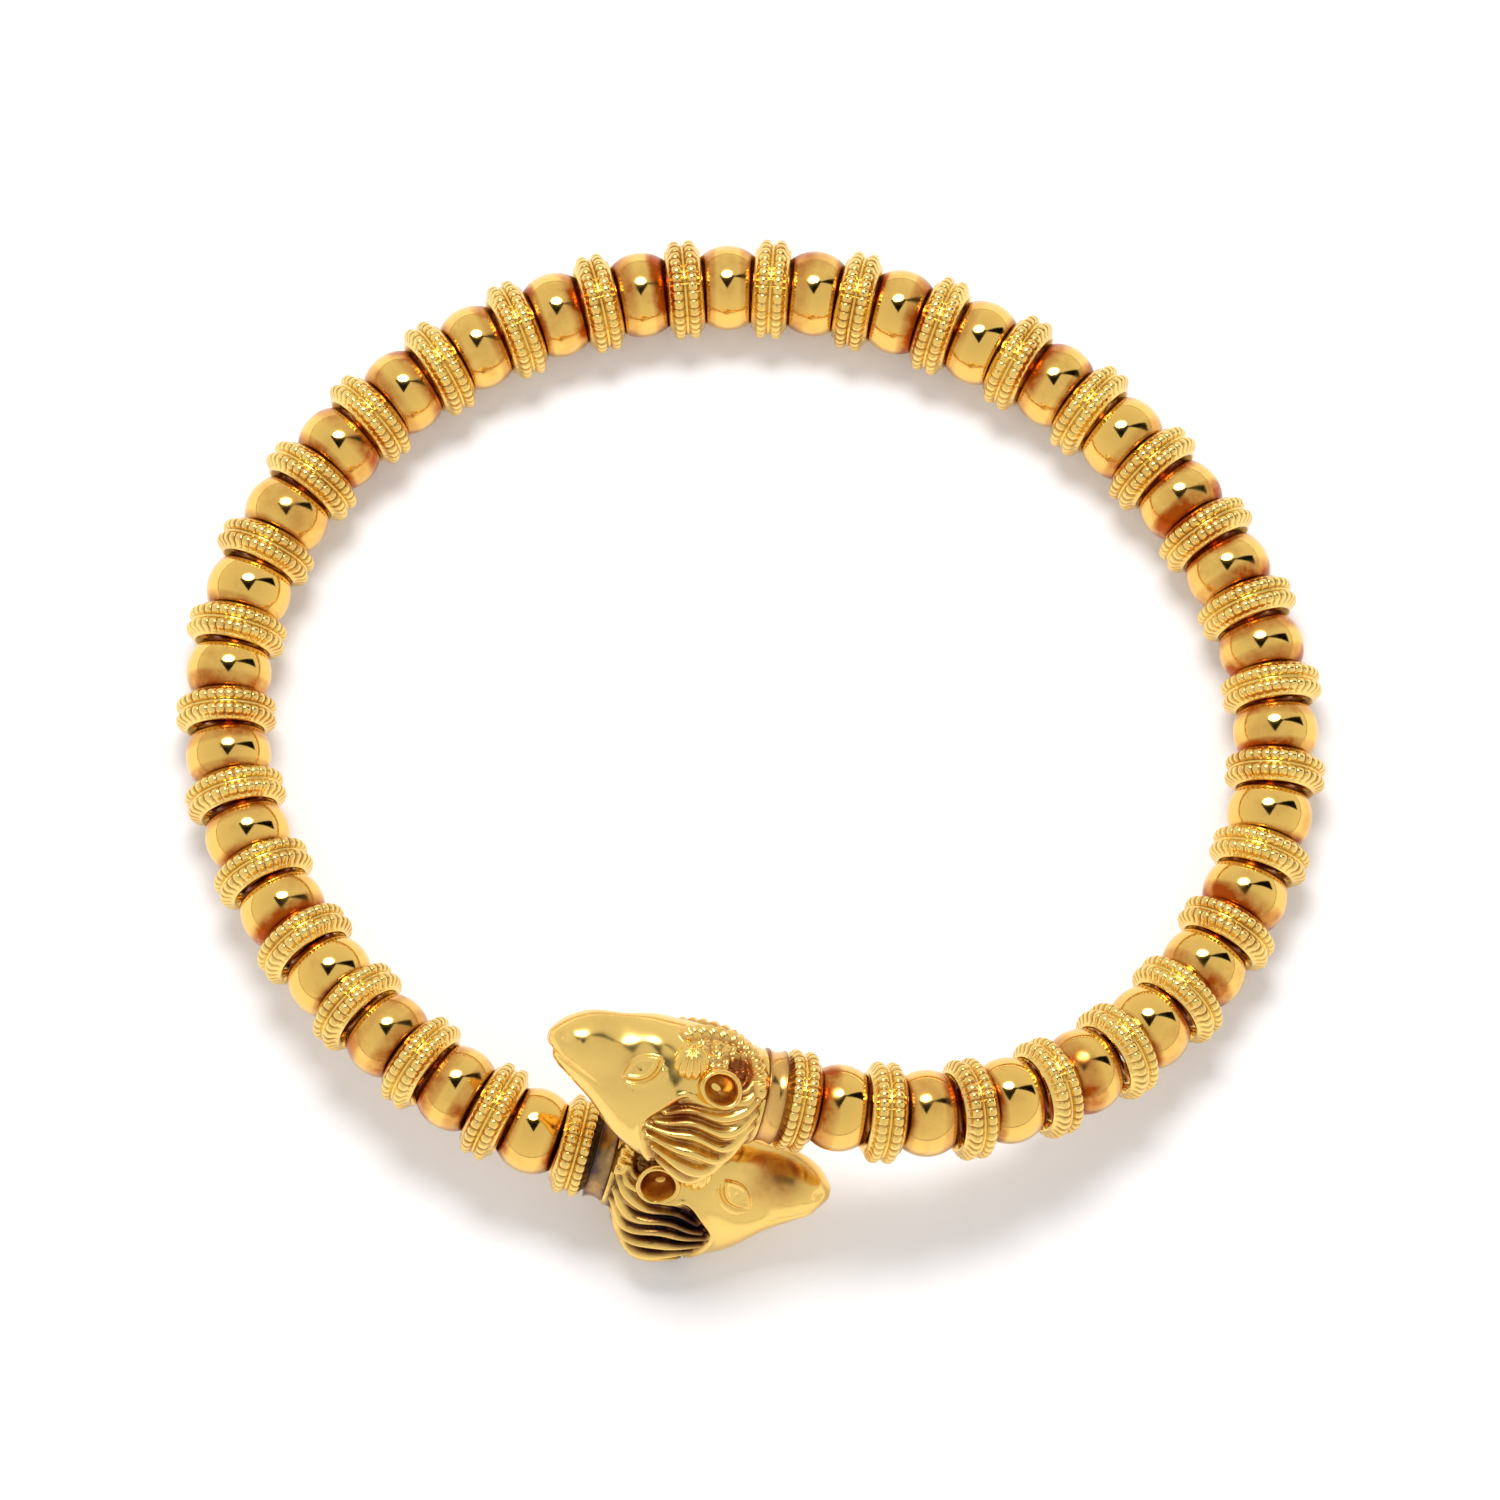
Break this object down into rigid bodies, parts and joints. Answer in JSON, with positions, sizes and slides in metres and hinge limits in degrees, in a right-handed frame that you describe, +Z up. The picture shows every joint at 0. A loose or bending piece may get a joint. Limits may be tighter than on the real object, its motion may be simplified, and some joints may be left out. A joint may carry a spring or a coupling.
{
  "type": "collar necklace",
  "caption": "Open collar necklace of polished round beads and granulated rings on a sprung wire, ending in two cast animal heads that lie one over the other.",
  "frame": {"origin": "on the table under the middle of the whole collar's box", "axes": "+Z up from the table the collar lies on, +Y towards the back of the neck, the heads at -Y, +X towards the end that lies on top"},
  "size_m": [0.1551, 0.1432, 0.0368],
  "materials": {
    "bead_gold": "polished",
    "ring_gold": "polished",
    "collar_gold": "satin",
    "head_gold": "polished",
    "spring_wire": "satin"
  },
  "bodies": {
    "root": {"bead_01": "bead_gold", "bead_02": "bead_gold", "bead_03": "bead_gold", "bead_04": "bead_gold", "bead_05": "bead_gold", "bead_06": "bead_gold", "bead_07": "bead_gold", "bead_08": "bead_gold", "bead_09": "bead_gold", "bead_10": "bead_gold", "bead_11": "bead_gold", "bead_12": "bead_gold", "bead_13": "bead_gold", "bead_14": "bead_gold", "bead_15": "bead_gold", "bead_16": "bead_gold", "bead_17": "bead_gold", "bead_18": "bead_gold", "bead_19": "bead_gold", "bead_20": "bead_gold", "bead_21": "bead_gold", "bead_22": "bead_gold", "bead_23": "bead_gold", "bead_24": "bead_gold", "bead_25": "bead_gold", "bead_26": "bead_gold", "bead_27": "bead_gold", "bead_28": "bead_gold", "bead_29": "bead_gold", "bead_30": "bead_gold", "bead_31": "bead_gold", "bead_32": "bead_gold", "bead_33": "bead_gold", "spacer_rings_left": "ring_gold", "spacer_rings_right": "ring_gold", "neck_collar_lower": "collar_gold", "neck_collar_upper": "collar_gold", "head_lower": "head_gold", "head_upper": "head_gold", "core_wire": "spring_wire"}
  },
  "joints": []
}
